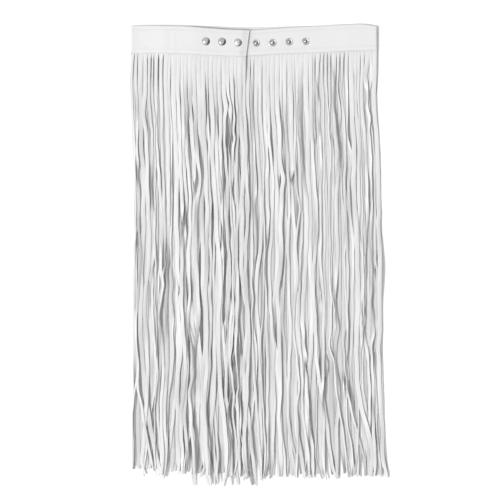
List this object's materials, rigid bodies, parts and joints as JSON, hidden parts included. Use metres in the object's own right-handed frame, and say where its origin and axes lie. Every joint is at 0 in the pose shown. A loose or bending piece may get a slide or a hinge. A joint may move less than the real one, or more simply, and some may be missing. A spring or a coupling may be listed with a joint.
{
  "type": "fringe skirt",
  "caption": "White leather fringe skirt laid flat: a narrow waistband that wraps and snaps closed at the front, with long thin strands all round its lower edge.",
  "frame": {"origin": "middle of the outline's box, on the surface that the skirt lies on", "axes": "+X across the skirt to the right of someone who looks at its front, +Y up towards the waist, +Z out of the front, up from the surface"},
  "size_m": [0.389, 0.692, 0.0156],
  "materials": {
    "band_leather": "smooth white leather with a fine grain, satin",
    "fringe_leather": "soft white leather strands, satin face, matt cut edges",
    "snap_metal": "bright nickel plate"
  },
  "bodies": {
    "root": {"waistband": "band_leather", "fringe_back": "fringe_leather", "fringe_front_right": "fringe_leather", "fringe_front_left": "fringe_leather", "snap_cap_1": "snap_metal", "snap_cap_2": "snap_metal", "snap_cap_3": "snap_metal", "snap_stud_1": "snap_metal", "snap_stud_2": "snap_metal", "snap_stud_3": "snap_metal", "snap_stud_4": "snap_metal", "snap_stud_5": "snap_metal", "snap_stud_6": "snap_metal", "snap_stud_7": "snap_metal"}
  },
  "joints": []
}
